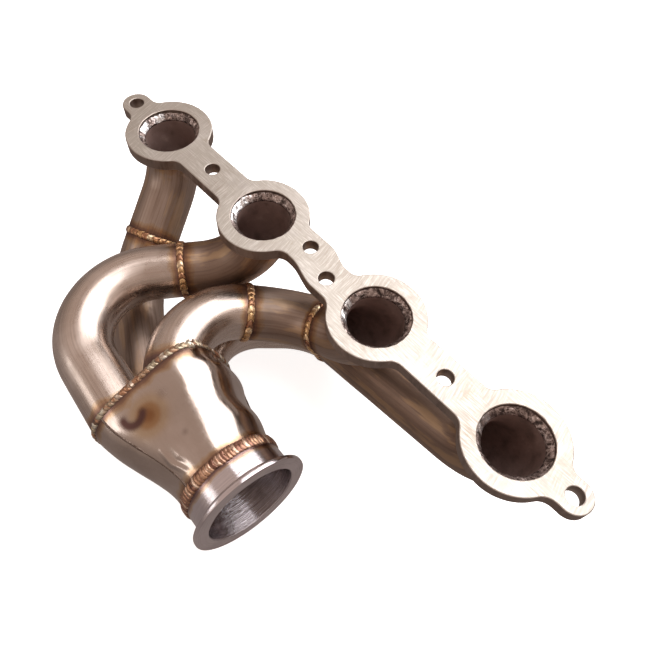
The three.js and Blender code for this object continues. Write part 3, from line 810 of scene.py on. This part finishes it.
def lay_bead(count, columns, seed, width, height, place, sink=0.5):
    """A closed bead of count ripples. place(turn, along, up) gives the point at a share of the way
    round, at an offset across the bead's run and at a height over the metal."""
    points = np.zeros((BEAD_LANES + 2, columns, 3))
    crown, blob = np.zeros(points.shape[:2]), np.zeros(points.shape[:2])
    lanes = np.linspace(-1, 1, BEAD_LANES)
    for c in range(columns):
        share = c / columns
        ring = np.array([math.cos(share * 2 * math.pi), math.sin(share * 2 * math.pi), 0]) * BEAD_RING
        wide = width * (1 + 0.16 * wobble(ring, 6.0, seed))
        tall = height * (1 + 0.25 * wobble(ring, 5.0, seed + 4))
        drift = 0.35 * wobble(ring, 14.0, seed + 8)
        for r, lane in enumerate(lanes):
            ripple, shade = dimes(share * count, lane, seed)
            round_ = 1 - lane ** 2
            up = tall * math.sqrt(round_) * (0.50 + 0.60 * ripple)
            edge = 1 + 0.13 * (ripple - 0.6)
            points[r, c] = place(share, lane * edge * wide / 2 + drift, up)
            # crown is high on a ripple's top and low in its hollows and at the toes, where the weld
            # material paints shade.
            crown[r, c], blob[r, c] = ripple * (0.35 + 0.65 * round_), shade
        points[-2, c] = place(share, wide * 0.45 + drift, -sink)
        points[-1, c] = place(share, -wide * 0.45 + drift, -sink)
    return points, {"crown": crown, "blob": blob}


def build_butt_weld(index, order):
    route, runner = ROUTES[index], RUNNERS[index]
    point, tangent, a, b = route.frames([runner["welds"][order]])[0]

    def place(share, along, up):
        angle = 2 * math.pi * share
        out = a * math.cos(angle) + b * math.sin(angle)
        return point + tangent * along + out * (TUBE_RADIUS - 0.12 + up)

    points, facts = lay_bead(BUTT_RIPPLES, 420, index * 2.1 + order, 5.5, 1.45, place)
    suffix = "ab"[order] if len(runner["welds"]) > 1 else ""
    name = "butt_weld_%d%s" % (index + 1, suffix)
    make_object(name + "_bead", grid_bmesh(points, facts), [GOLD_WELD], [name], 80.0)


# The port weld's section from the port's wall inwards: radius, and height from the gasket face.
PORT_WELD = [(22.5, -6.6), (22.55, -2.2), (22.1, -2.6), (21.5, -3.1), (20.9, -3.7), (20.3, -4.4),
        (19.7, -5.0), (19.2, -5.7), (18.9, -6.4), (18.8, -6.7)]
PORT_WELD_TOP = -0.5


def build_port_weld(index):
    """The ring of weld in a port's mouth, with a ragged lap up the wall and a painted highlight in torn
    patches on one side.
    """
    centre = np.array(port_centre(index))
    angles = around(260)
    points, side_highlight = np.zeros((len(PORT_WELD), len(angles), 3)), np.zeros((len(PORT_WELD), len(angles)))
    for c, angle in enumerate(angles):
        out = np.array([math.cos(angle), math.sin(angle), 0.0])
        wall = out * 22
        lap = 1.5 * wobble(wall, 6.5, index + 20) + 0.7 * wobble(wall, 2.4, index + 30)
        # Torn patches of painted highlight, strongest at one angle round the port.
        torn = smooth(-0.25, 0.35, wobble(wall, 5.0, index + 50))
        side_highlight[:, c] = HIGHLIGHT_STRENGTH[index] * math.exp(-((angle - HIGHLIGHT_ANGLE) / HIGHLIGHT_REACH) ** 2) * torn
        for r, (radius, z) in enumerate(PORT_WELD):
            free = 0.0 if r in (0, len(PORT_WELD) - 1) else 1.0
            lump = wobble(out * radius + np.array([0, 0, z * 1.5]), 3.4, index + 40)
            ragged = lap if r in (1, 2, 3) else 0.35 * lap
            depth = 0.0 if r == 1 else 0.75 * max(0.0, lump) * free
            points[r, c] = centre + out * (radius - depth) + np.array([0, 0, z + free * ragged])
    points[1:-1, :, 2] = np.minimum(points[1:-1, :, 2], PORT_WELD_TOP)
    name = "port_weld_%d" % (index + 1)
    make_object(name + "_bead", grid_bmesh(points, {"side_highlight": side_highlight}), [TORN_WELD], [name], 80.0)


# ---- Collector ----

def section(angle, blend, inset):
    """The shell's outline at one station, in the collector frame's Y and Z."""
    cos, sin = np.cos(angle), np.sin(angle)
    power = lambda v: np.sign(v) * np.abs(v) ** (2 / INLET_SQUARENESS)
    y = (INLET_HALF[0] - inset) * power(cos) + INLET_CENTRE_SHIFT
    z = (INLET_HALF[1] - inset) * power(sin)
    square = np.stack(from_inlet(y, z), -1)
    radius = SHELL_OUTLET_RADIUS - inset
    round_ = np.stack([radius * np.cos(angle + INLET_ROLL), radius * np.sin(angle + INLET_ROLL)], -1)
    blend = np.asarray(blend)[..., None]
    return square * (1 - blend) + round_ * blend


def shell_grid(inset, along, angles):
    """Points of the shell in its frame, by station and by angle, moved in from the outside by inset."""
    a, t = np.meshgrid(along, angles, indexing="ij")
    yz = section(t, smooth(INLET_AT, ROUND_FROM, a), inset)
    return np.concatenate([a[..., None], yz], -1)


def shell_loop(inset, along, angles):
    return shell_grid(inset, np.array([along]), angles)[0]


def seam_distance(points):
    """How far points in the collector frame are over the plane where the two shells meet."""
    points = np.asarray(points, float)
    cos, sin = math.cos(SEAM_ROLL), math.sin(SEAM_ROLL)
    return points[..., 2] * cos - points[..., 1] * sin - SEAM_HEIGHT * cos


# Marks on the upper shell, in millimetres: how far from its inlet edge, and how far sideways.
SCORCH_AT, SCORCH_RADIUS, SCORCH_WIDTH = (15.5, -28.5), 6.6, 3.2
SCORCH_OPEN, OPEN_SLANT = (-5.0, 2.0), 0.35
HALO_AT, HALO_SIZE = (23.0, -21.0), 10.0
STAINS = [((46.0, -9.0), 2.8, 0.42), ((40.0, 3.0), 3.0, 0.40), ((35.0, 5.0), 2.4, 0.28),
        ((18.0, -7.0), 5.0, 0.36)]
CREASE_MIDDLE, CREASE_HALF = 54.0, 12.0
CREASE_LOW, CREASE_END = 4.2, 7.2
RIDGE_HEIGHT, RIDGE_HALF = 0.6, 2.6
HOLLOW_DEPTH, HOLLOW_OVER, HOLLOW_HALF = 0.50, 3.2, 2.0
WAVE_LENGTH, WAVE_HEIGHT, WAVE_SIDE = 36.0, 1.3, (12.0, 34.0)


def shell_marks(p):
    """Scorch and halo at a point of the upper shell, each from 0 to 1."""
    if seam_distance(p) < 0 or p[2] < 0:
        return 0.0, 0.0
    at, side = p[0] - INLET_AT, p[1]
    ring = math.hypot(at - SCORCH_AT[0], side - SCORCH_AT[1]) - SCORCH_RADIUS
    open_end = float(smooth(*SCORCH_OPEN, at - SCORCH_AT[0] + OPEN_SLANT * (SCORCH_AT[1] - side)))
    scorch = math.exp(-(ring / SCORCH_WIDTH) ** 2) * open_end
    for (x, y), size, depth in STAINS:
        scorch = max(scorch, depth * math.exp(-((at - x) ** 2 + (side - y) ** 2) / size ** 2))
    halo = math.exp(-((at - HALO_AT[0]) / HALO_SIZE) ** 2 - ((side - HALO_AT[1]) / HALO_SIZE) ** 2)
    return scorch, halo


def crease(p):
    """A pinched fold in the upper shell beside the seam: a sharp ridge with a hollow over it."""
    along = (p[0] - INLET_AT - CREASE_MIDDLE) / CREASE_HALF
    over_seam = float(seam_distance(p))
    if abs(along) >= 1 or over_seam < 0 or p[1] > 0:
        return 0.0
    over_ridge = over_seam - (CREASE_LOW + (CREASE_END - CREASE_LOW) * abs(along))
    lens = 1 - along ** 2
    ridge = RIDGE_HEIGHT * max(0.0, 1 - abs(over_ridge) / RIDGE_HALF)
    hollow = HOLLOW_DEPTH * math.exp(-((over_ridge - HOLLOW_OVER) / HOLLOW_HALF) ** 2)
    return lens * (ridge - hollow)


def build_shells():
    """The two shells, pressed a little unevenly, with shallow waves along the +Y side of both."""
    rows, columns = 110, 340
    along = np.linspace(INLET_AT + GAP, OUTLET_AT, rows)
    angles = around(columns)
    outer, inner = shell_grid(0.0, along, angles), shell_grid(SHELL_WALL, along, angles)
    out = outer - inner
    out /= np.linalg.norm(out, axis=2)[..., None]
    scorch, halo, weld = (np.zeros((rows, columns)) for _ in range(3))
    for r in range(rows):
        for c in range(columns):
            p = outer[r, c].copy()
            weld[r, c] = min(p[0] - INLET_AT, OUTLET_AT - p[0])
            fade = min(1.0, weld[r, c] / SHELL_FADE)
            bulge = 0.45 * wobble(p, 30.0, 11) + 0.16 * wobble(p, 12.0, 12) + crease(p)
            wave = math.cos((p[0] - INLET_AT) * 2 * math.pi / WAVE_LENGTH)
            bulge -= WAVE_HEIGHT * wave * float(smooth(*WAVE_SIDE, p[1]))
            outer[r, c] += out[r, c] * bulge * max(0.0, fade)
            scorch[r, c], halo[r, c] = shell_marks(p)
    both = np.concatenate([from_collector(outer), from_collector(inner[::-1])])
    facts = {"tube": np.concatenate([outer, outer[::-1]])}
    for key, values in (("weld", weld), ("scorch", scorch), ("halo", halo)):
        facts[key] = np.concatenate([values, values[::-1]])
    seam_up = np.array(COLLECTOR_TURN) @ np.array([0, -math.sin(SEAM_ROLL), math.cos(SEAM_ROLL)])
    for name, side in (("collector_upper_shell", 1), ("collector_lower_shell", -1)):
        bm = grid_bmesh(both, facts)
        line_inside(bm, rows, columns)
        point = from_collector([0, 0, SEAM_HEIGHT]) + seam_up * side * GAP / 2
        cut_plane(bm, point, -side * seam_up)
        make_object(name + "_skin", bm, [SHELL, BORE], [name], 35.0)


SEAM_HALF, SEAM_LIFT, SEAM_SINK = 0.85, 0.42, 0.9
# The angles between which each seam is looked for, in degrees round the shell.
SEAMS = [("collector_seam_weld_outer", 90, 200), ("collector_seam_weld_inner", -80, 80)]


def build_seam_beads():
    """A narrow bead dressed nearly flush, along each side where the shells meet."""
    stations = np.linspace(INLET_AT + 1.0, OUTLET_AT - 2.5, 150)
    lanes = np.array([-1.0, -0.6, -0.2, 0.2, 0.6, 1.0])
    for name, low, high in SEAMS:
        angles = np.radians(np.linspace(low, high, 600))
        points = np.zeros((len(lanes) + 2, len(stations), 3))
        for c, station in enumerate(stations):
            line, core = shell_loop(0.0, station, angles), shell_loop(SHELL_WALL, station, angles)
            nearest = int(np.argmin(np.abs(seam_distance(line))))
            p, out = line[nearest], unit(line[nearest] - core[nearest])
            across = np.cross(out, [1.0, 0.0, 0.0])
            wide = SEAM_HALF * (1 + 0.3 * wobble(p, 7.0, 71))
            for r, lane in enumerate(lanes):
                lift = SEAM_LIFT * (1 - lane ** 2) * (1 + 0.5 * wobble(p, 3.0, 72)) + 0.04
                points[r, c] = p + across * lane * wide + out * lift
            points[-2, c] = p + across * wide - out * SEAM_SINK
            points[-1, c] = p - across * wide - out * SEAM_SINK
        # An even, low crown, so the seam beads take most of the weld material's painted hollow shade.
        crown = np.full(points.shape[:2], 0.3)
        bm = grid_bmesh(from_collector(points), {"crown": crown, "blob": crown}, wrap_columns=False)
        bmesh.ops.holes_fill(bm, edges=bm.edges)
        make_object(name + "_bead", bm, [SEAM_WELD], [name], 60.0)


# ---- Inlet weld ----

WEB_TOP, WEB_BOTTOM = INLET_AT - 2.2, INLET_AT
WEB_INSET, WEB_OVERLAP = 1.0, 0.35
INLET_RIPPLES = 84
KNOT_ANGLE, KNOT_REACH = math.radians(33), 0.13
LEAN_MOST = 3.2
LEAN_SPREAD = 60    # over how many points to each side the lean is evened out


def tube_slice(index, along, radius):
    """Where a runner's straight end crosses a plane across the collector, as a loop in its frame."""
    route = ROUTES[index]
    point, tangent, a, b = route.frames([route.length - TUBE_RADIUS])[0]
    m = np.array(COLLECTOR_TURN)
    point, tangent, a, b = to_collector(point), tangent @ m, a @ m, b @ m
    loop = []
    for angle in around(96):
        p = point + (a * math.cos(angle) + b * math.sin(angle)) * radius
        loop.append(p + tangent * (along - p[0]) / tangent[0])
    return np.array(loop)


def build_inlet_web():
    """The plate of filler that closes the spaces between the four tubes."""
    bm = bmesh.new()
    crown = bm.verts.layers.float.new("crown")
    blob = bm.verts.layers.float.new("blob")
    heights = (WEB_TOP, WEB_BOTTOM)
    walls = [[shell_loop(WEB_INSET, along, around(200)) for along in heights]]
    walls += [[tube_slice(i, along, TUBE_RADIUS - WEB_OVERLAP) for along in heights] for i in range(4)]
    ends = [join_loops(bm, [from_collector(loop) for loop in wall])[1] for wall in walls]
    # An even crown, so the whole web takes about half of the weld material's painted hollow shade.
    for vert in bm.verts:
        vert[crown], vert[blob] = 0.35, 0.25
    for edges in zip(*ends):
        bmesh.ops.triangle_fill(bm, edges=sum(edges, []), use_beauty=True)
    make_object("inlet_weld_web", bm, [INLET_WELD], ["collector_inlet_weld"], 40.0)


def build_inlet_bead():
    """The bead round the shell's inlet edge. It leans in to the tubes and swells at one corner."""
    fine = around(1440)
    edge, core = (shell_loop(inset, INLET_AT, fine) for inset in (0.0, SHELL_WALL))
    outs = (edge - core) / np.linalg.norm(edge - core, axis=1)[:, None]
    run = np.concatenate([[0], np.cumsum(np.linalg.norm(np.diff(edge, axis=0), axis=1))])
    tubes = np.concatenate([tube_slice(i, INLET_AT - 2, TUBE_RADIUS) for i in range(4)])
    gap = np.linalg.norm(edge[:, None, 1:] - tubes[None, :, 1:], axis=2).min(axis=1)
    lean = np.clip(gap, 0.0, LEAN_MOST)
    lean = np.concatenate([lean[-LEAN_SPREAD:], lean, lean[:LEAN_SPREAD]])
    window = 2 * LEAN_SPREAD + 1
    lean = np.convolve(lean, np.ones(window) / window, "valid")

    def place(share, along, up):
        at = int(np.searchsorted(run, share * run[-1])) % len(edge)
        p, out = edge[at], outs[at]
        swell = math.exp(-((fine[at] - KNOT_ANGLE) / KNOT_REACH) ** 2)
        rough = (0.42 + 0.8 * swell) * wobble(p + np.array([along, 0, 0]), 1.9, 54)
        lift = (up + rough) * (1 + 0.7 * swell) if up > 0 else up
        inward = lean[at] * float(smooth(0.5, -2.6, along))
        return p + out * (lift - inward - 0.25) + np.array([along * (1 + 0.5 * swell) - 1.5, 0, 0])

    points, facts = lay_bead(INLET_RIPPLES, 1100, 51.3, 6.4, 1.5, place, 1.0)
    make_object("inlet_weld_bead", grid_bmesh(from_collector(points), facts), [INLET_WELD],
            [], 80.0)


# ---- Outlet ----

OUTLET_RIPPLES = 82


BARE = 40.0         # far enough from a weld to have no heat tint
# The ring's section: how far along the axis from the outlet's face, and radius.
RING = [(-23.0, 31.5), (-23.0, 34.9), (-11.0, 35.0), (-6.6, 35.1), (-5.9, 35.5), (-3.5, 40.7),
        (-3.1, 41.2), (-2.6, 41.4), (-0.9, 41.4), (-0.35, 41.2), (0.0, 40.6), (0.0, 39.8),
        (0.0, 34.0), (0.0, 32.4), (-0.2, 31.85), (-0.7, 31.5), (-4, 31.5), (-12, 31.5)]


def build_outlet():
    fine = []
    for first, second in zip(RING, RING[1:] + RING[:1]):
        steps = max(1, int(math.dist(first, second) / 0.7))
        fine += [(first[0] + (second[0] - first[0]) * i / steps,
                first[1] + (second[1] - first[1]) * i / steps) for i in range(steps)]
    angles = around(160)
    points, lathe = np.zeros((2, len(fine), len(angles), 3))
    weld, turned = np.zeros((2, len(fine), len(angles)))
    for r, (x, radius) in enumerate(fine):
        # Full weight for the dark lathe rings in the bore, where they also paint shade; a quarter on the
        # other faces.
        turned[r] = 1.0 if radius < 32 else 0.25
        weld[r] = max(x + 20.0, 0) if radius > 33 else BARE
        for c, angle in enumerate(angles):
            points[r, c] = (x, radius * math.cos(angle), radius * math.sin(angle))
            lathe[r, c] = (radius + x * 0.9, 0, 7 * math.sin(angle))
    bm = grid_bmesh(from_collector(points), {"lathe": lathe, "weld": weld, "turned": turned})
    make_object("outlet_ring", bm, [OUTLET_METAL], ["outlet_flange"], 28.0)


def build_outlet_weld():
    def place(share, along, up):
        angle = 2 * math.pi * share
        out = np.array([0, math.cos(angle), math.sin(angle)])
        rough = 0.25 * wobble(out * 35 + np.array([along, 0, 0]), 2.2, 64) if up > 0 else 0.0
        return out * (34.9 + up + rough) + np.array([along + OUTLET_AT, 0, 0])

    points, facts = lay_bead(OUTLET_RIPPLES, 760, 61.7, 8.4, 1.25, place, 0.8)
    make_object("outlet_weld_bead", grid_bmesh(from_collector(points), facts), [COPPER_WELD],
            ["collector_outlet_weld"], 80.0)


# ---- Stage ----

def area_light(name, toward, distance, size, power, colour, target):
    """A soft box placed out from target in one direction, and aimed back at it."""
    data = bpy.data.lights.new(name, "AREA")
    data.shape = "RECTANGLE"
    data.size, data.size_y = size
    data.energy = power
    data.color = colour
    light = add_object(name, data)
    direction = Vector(toward).normalized()
    light.location = target + direction * distance
    light.rotation_mode = "QUATERNION"
    light.rotation_quaternion = direction.to_track_quat("Z", "Y")


FLOOR_HALF, FLOOR_DROP = 8.0, 0.0008    # in metres


def build_stage():
    centre = (CAD_LOW + CAD_HIGH) / 2
    bm = bmesh.new()
    bmesh.ops.create_grid(bm, x_segments=2, y_segments=2, size=FLOOR_HALF)
    floor = add_mesh("floor", bm)
    floor.location = (centre.x, centre.y, CAD_LOW.z - FLOOR_DROP)
    n = Nodes("pale_floor")
    n.feed(n.shader, {"Base Color": (0.95, 0.95, 0.95, 1), "Roughness": 0.9, "Specular IOR Level": 0.1,
            "Emission Color": (1.0, 1.0, 1.0, 1), "Emission Strength": 0.8})
    # Polished metal mirrors a dim brown in place of the pale floor.
    in_metal = n.node("Emission", {"Color": (0.28, 0.23, 0.21, 1)})
    chooser = n.node("MixShader", {0: n.node("LightPath").outputs["Is Glossy Ray"],
            1: n.shader.outputs[0], 2: in_metal.outputs[0]})
    n.feed(n.tree.nodes["Material Output"], {"Surface": chooser.outputs[0]})
    floor.data.materials.append(n.owner)

    n = Nodes("studio", bpy.data.worlds, "Background")
    bpy.context.scene.world = n.owner
    height = n.node("SeparateXYZ", {0: n.node("TexCoord").outputs["Generated"]})
    room = n.node("ValToRGB", {"Fac": height.outputs["Z"]})
    set_stops(room.color_ramp, [
        (0.0, (0.34, 0.28, 0.25)), (0.28, (0.42, 0.34, 0.30)), (0.55, (0.56, 0.45, 0.39)),
        (0.85, (0.56, 0.44, 0.38)), (1.0, (0.52, 0.41, 0.35))])
    n.feed(n.shader, {"Color": room.outputs["Color"], "Strength": 1.0})
    area_light("window_left", (-0.41, -0.82, 0.42), 1.5, (0.8, 0.4), 1.8, (1.0, 0.98, 0.96), centre)
    area_light("window_back", (0.06, 0.62, 0.78), 1.5, (1.6, 2.1), 34, (0.97, 0.98, 1.0), centre)


# In the row frame: where the camera is, the direction it looks in from +X, and how far below level.
CAMERA_AT = (176, -170, 330)
CAMERA_AZIMUTH, CAMERA_DOWN, CAMERA_ROLL = 134.2, 59.2, 3.4
CAMERA_LENS = 34.0


def build_camera():
    data = bpy.data.cameras.new("camera")
    data.sensor_width = 36.0
    data.lens = CAMERA_LENS
    data.clip_start, data.clip_end = 0.01, 30.0
    camera = add_object("camera", data)
    level = Euler((math.radians(90 - CAMERA_DOWN), 0, math.radians(CAMERA_AZIMUTH - 90)), "XYZ")
    roll = Matrix.Rotation(math.radians(CAMERA_ROLL), 4, "Z")
    camera.matrix_world = Matrix.Translation(Vector(CAMERA_AT) * MM) @ level.to_matrix().to_4x4() @ roll
    bpy.context.scene.camera = camera


build_flange()
for tube in range(4):
    for piece in range(len(RUNNERS[tube]["pieces"])):
        build_tube(tube, piece)
    for order in range(len(RUNNERS[tube]["welds"])):
        build_butt_weld(tube, order)
    build_port_weld(tube)
build_shells()
build_seam_beads()
build_inlet_web()
build_inlet_bead()
build_outlet()
build_outlet_weld()
build_stage()
build_camera()

bpy.context.scene.view_settings.view_transform = "Standard"
bpy.context.view_layer.update()
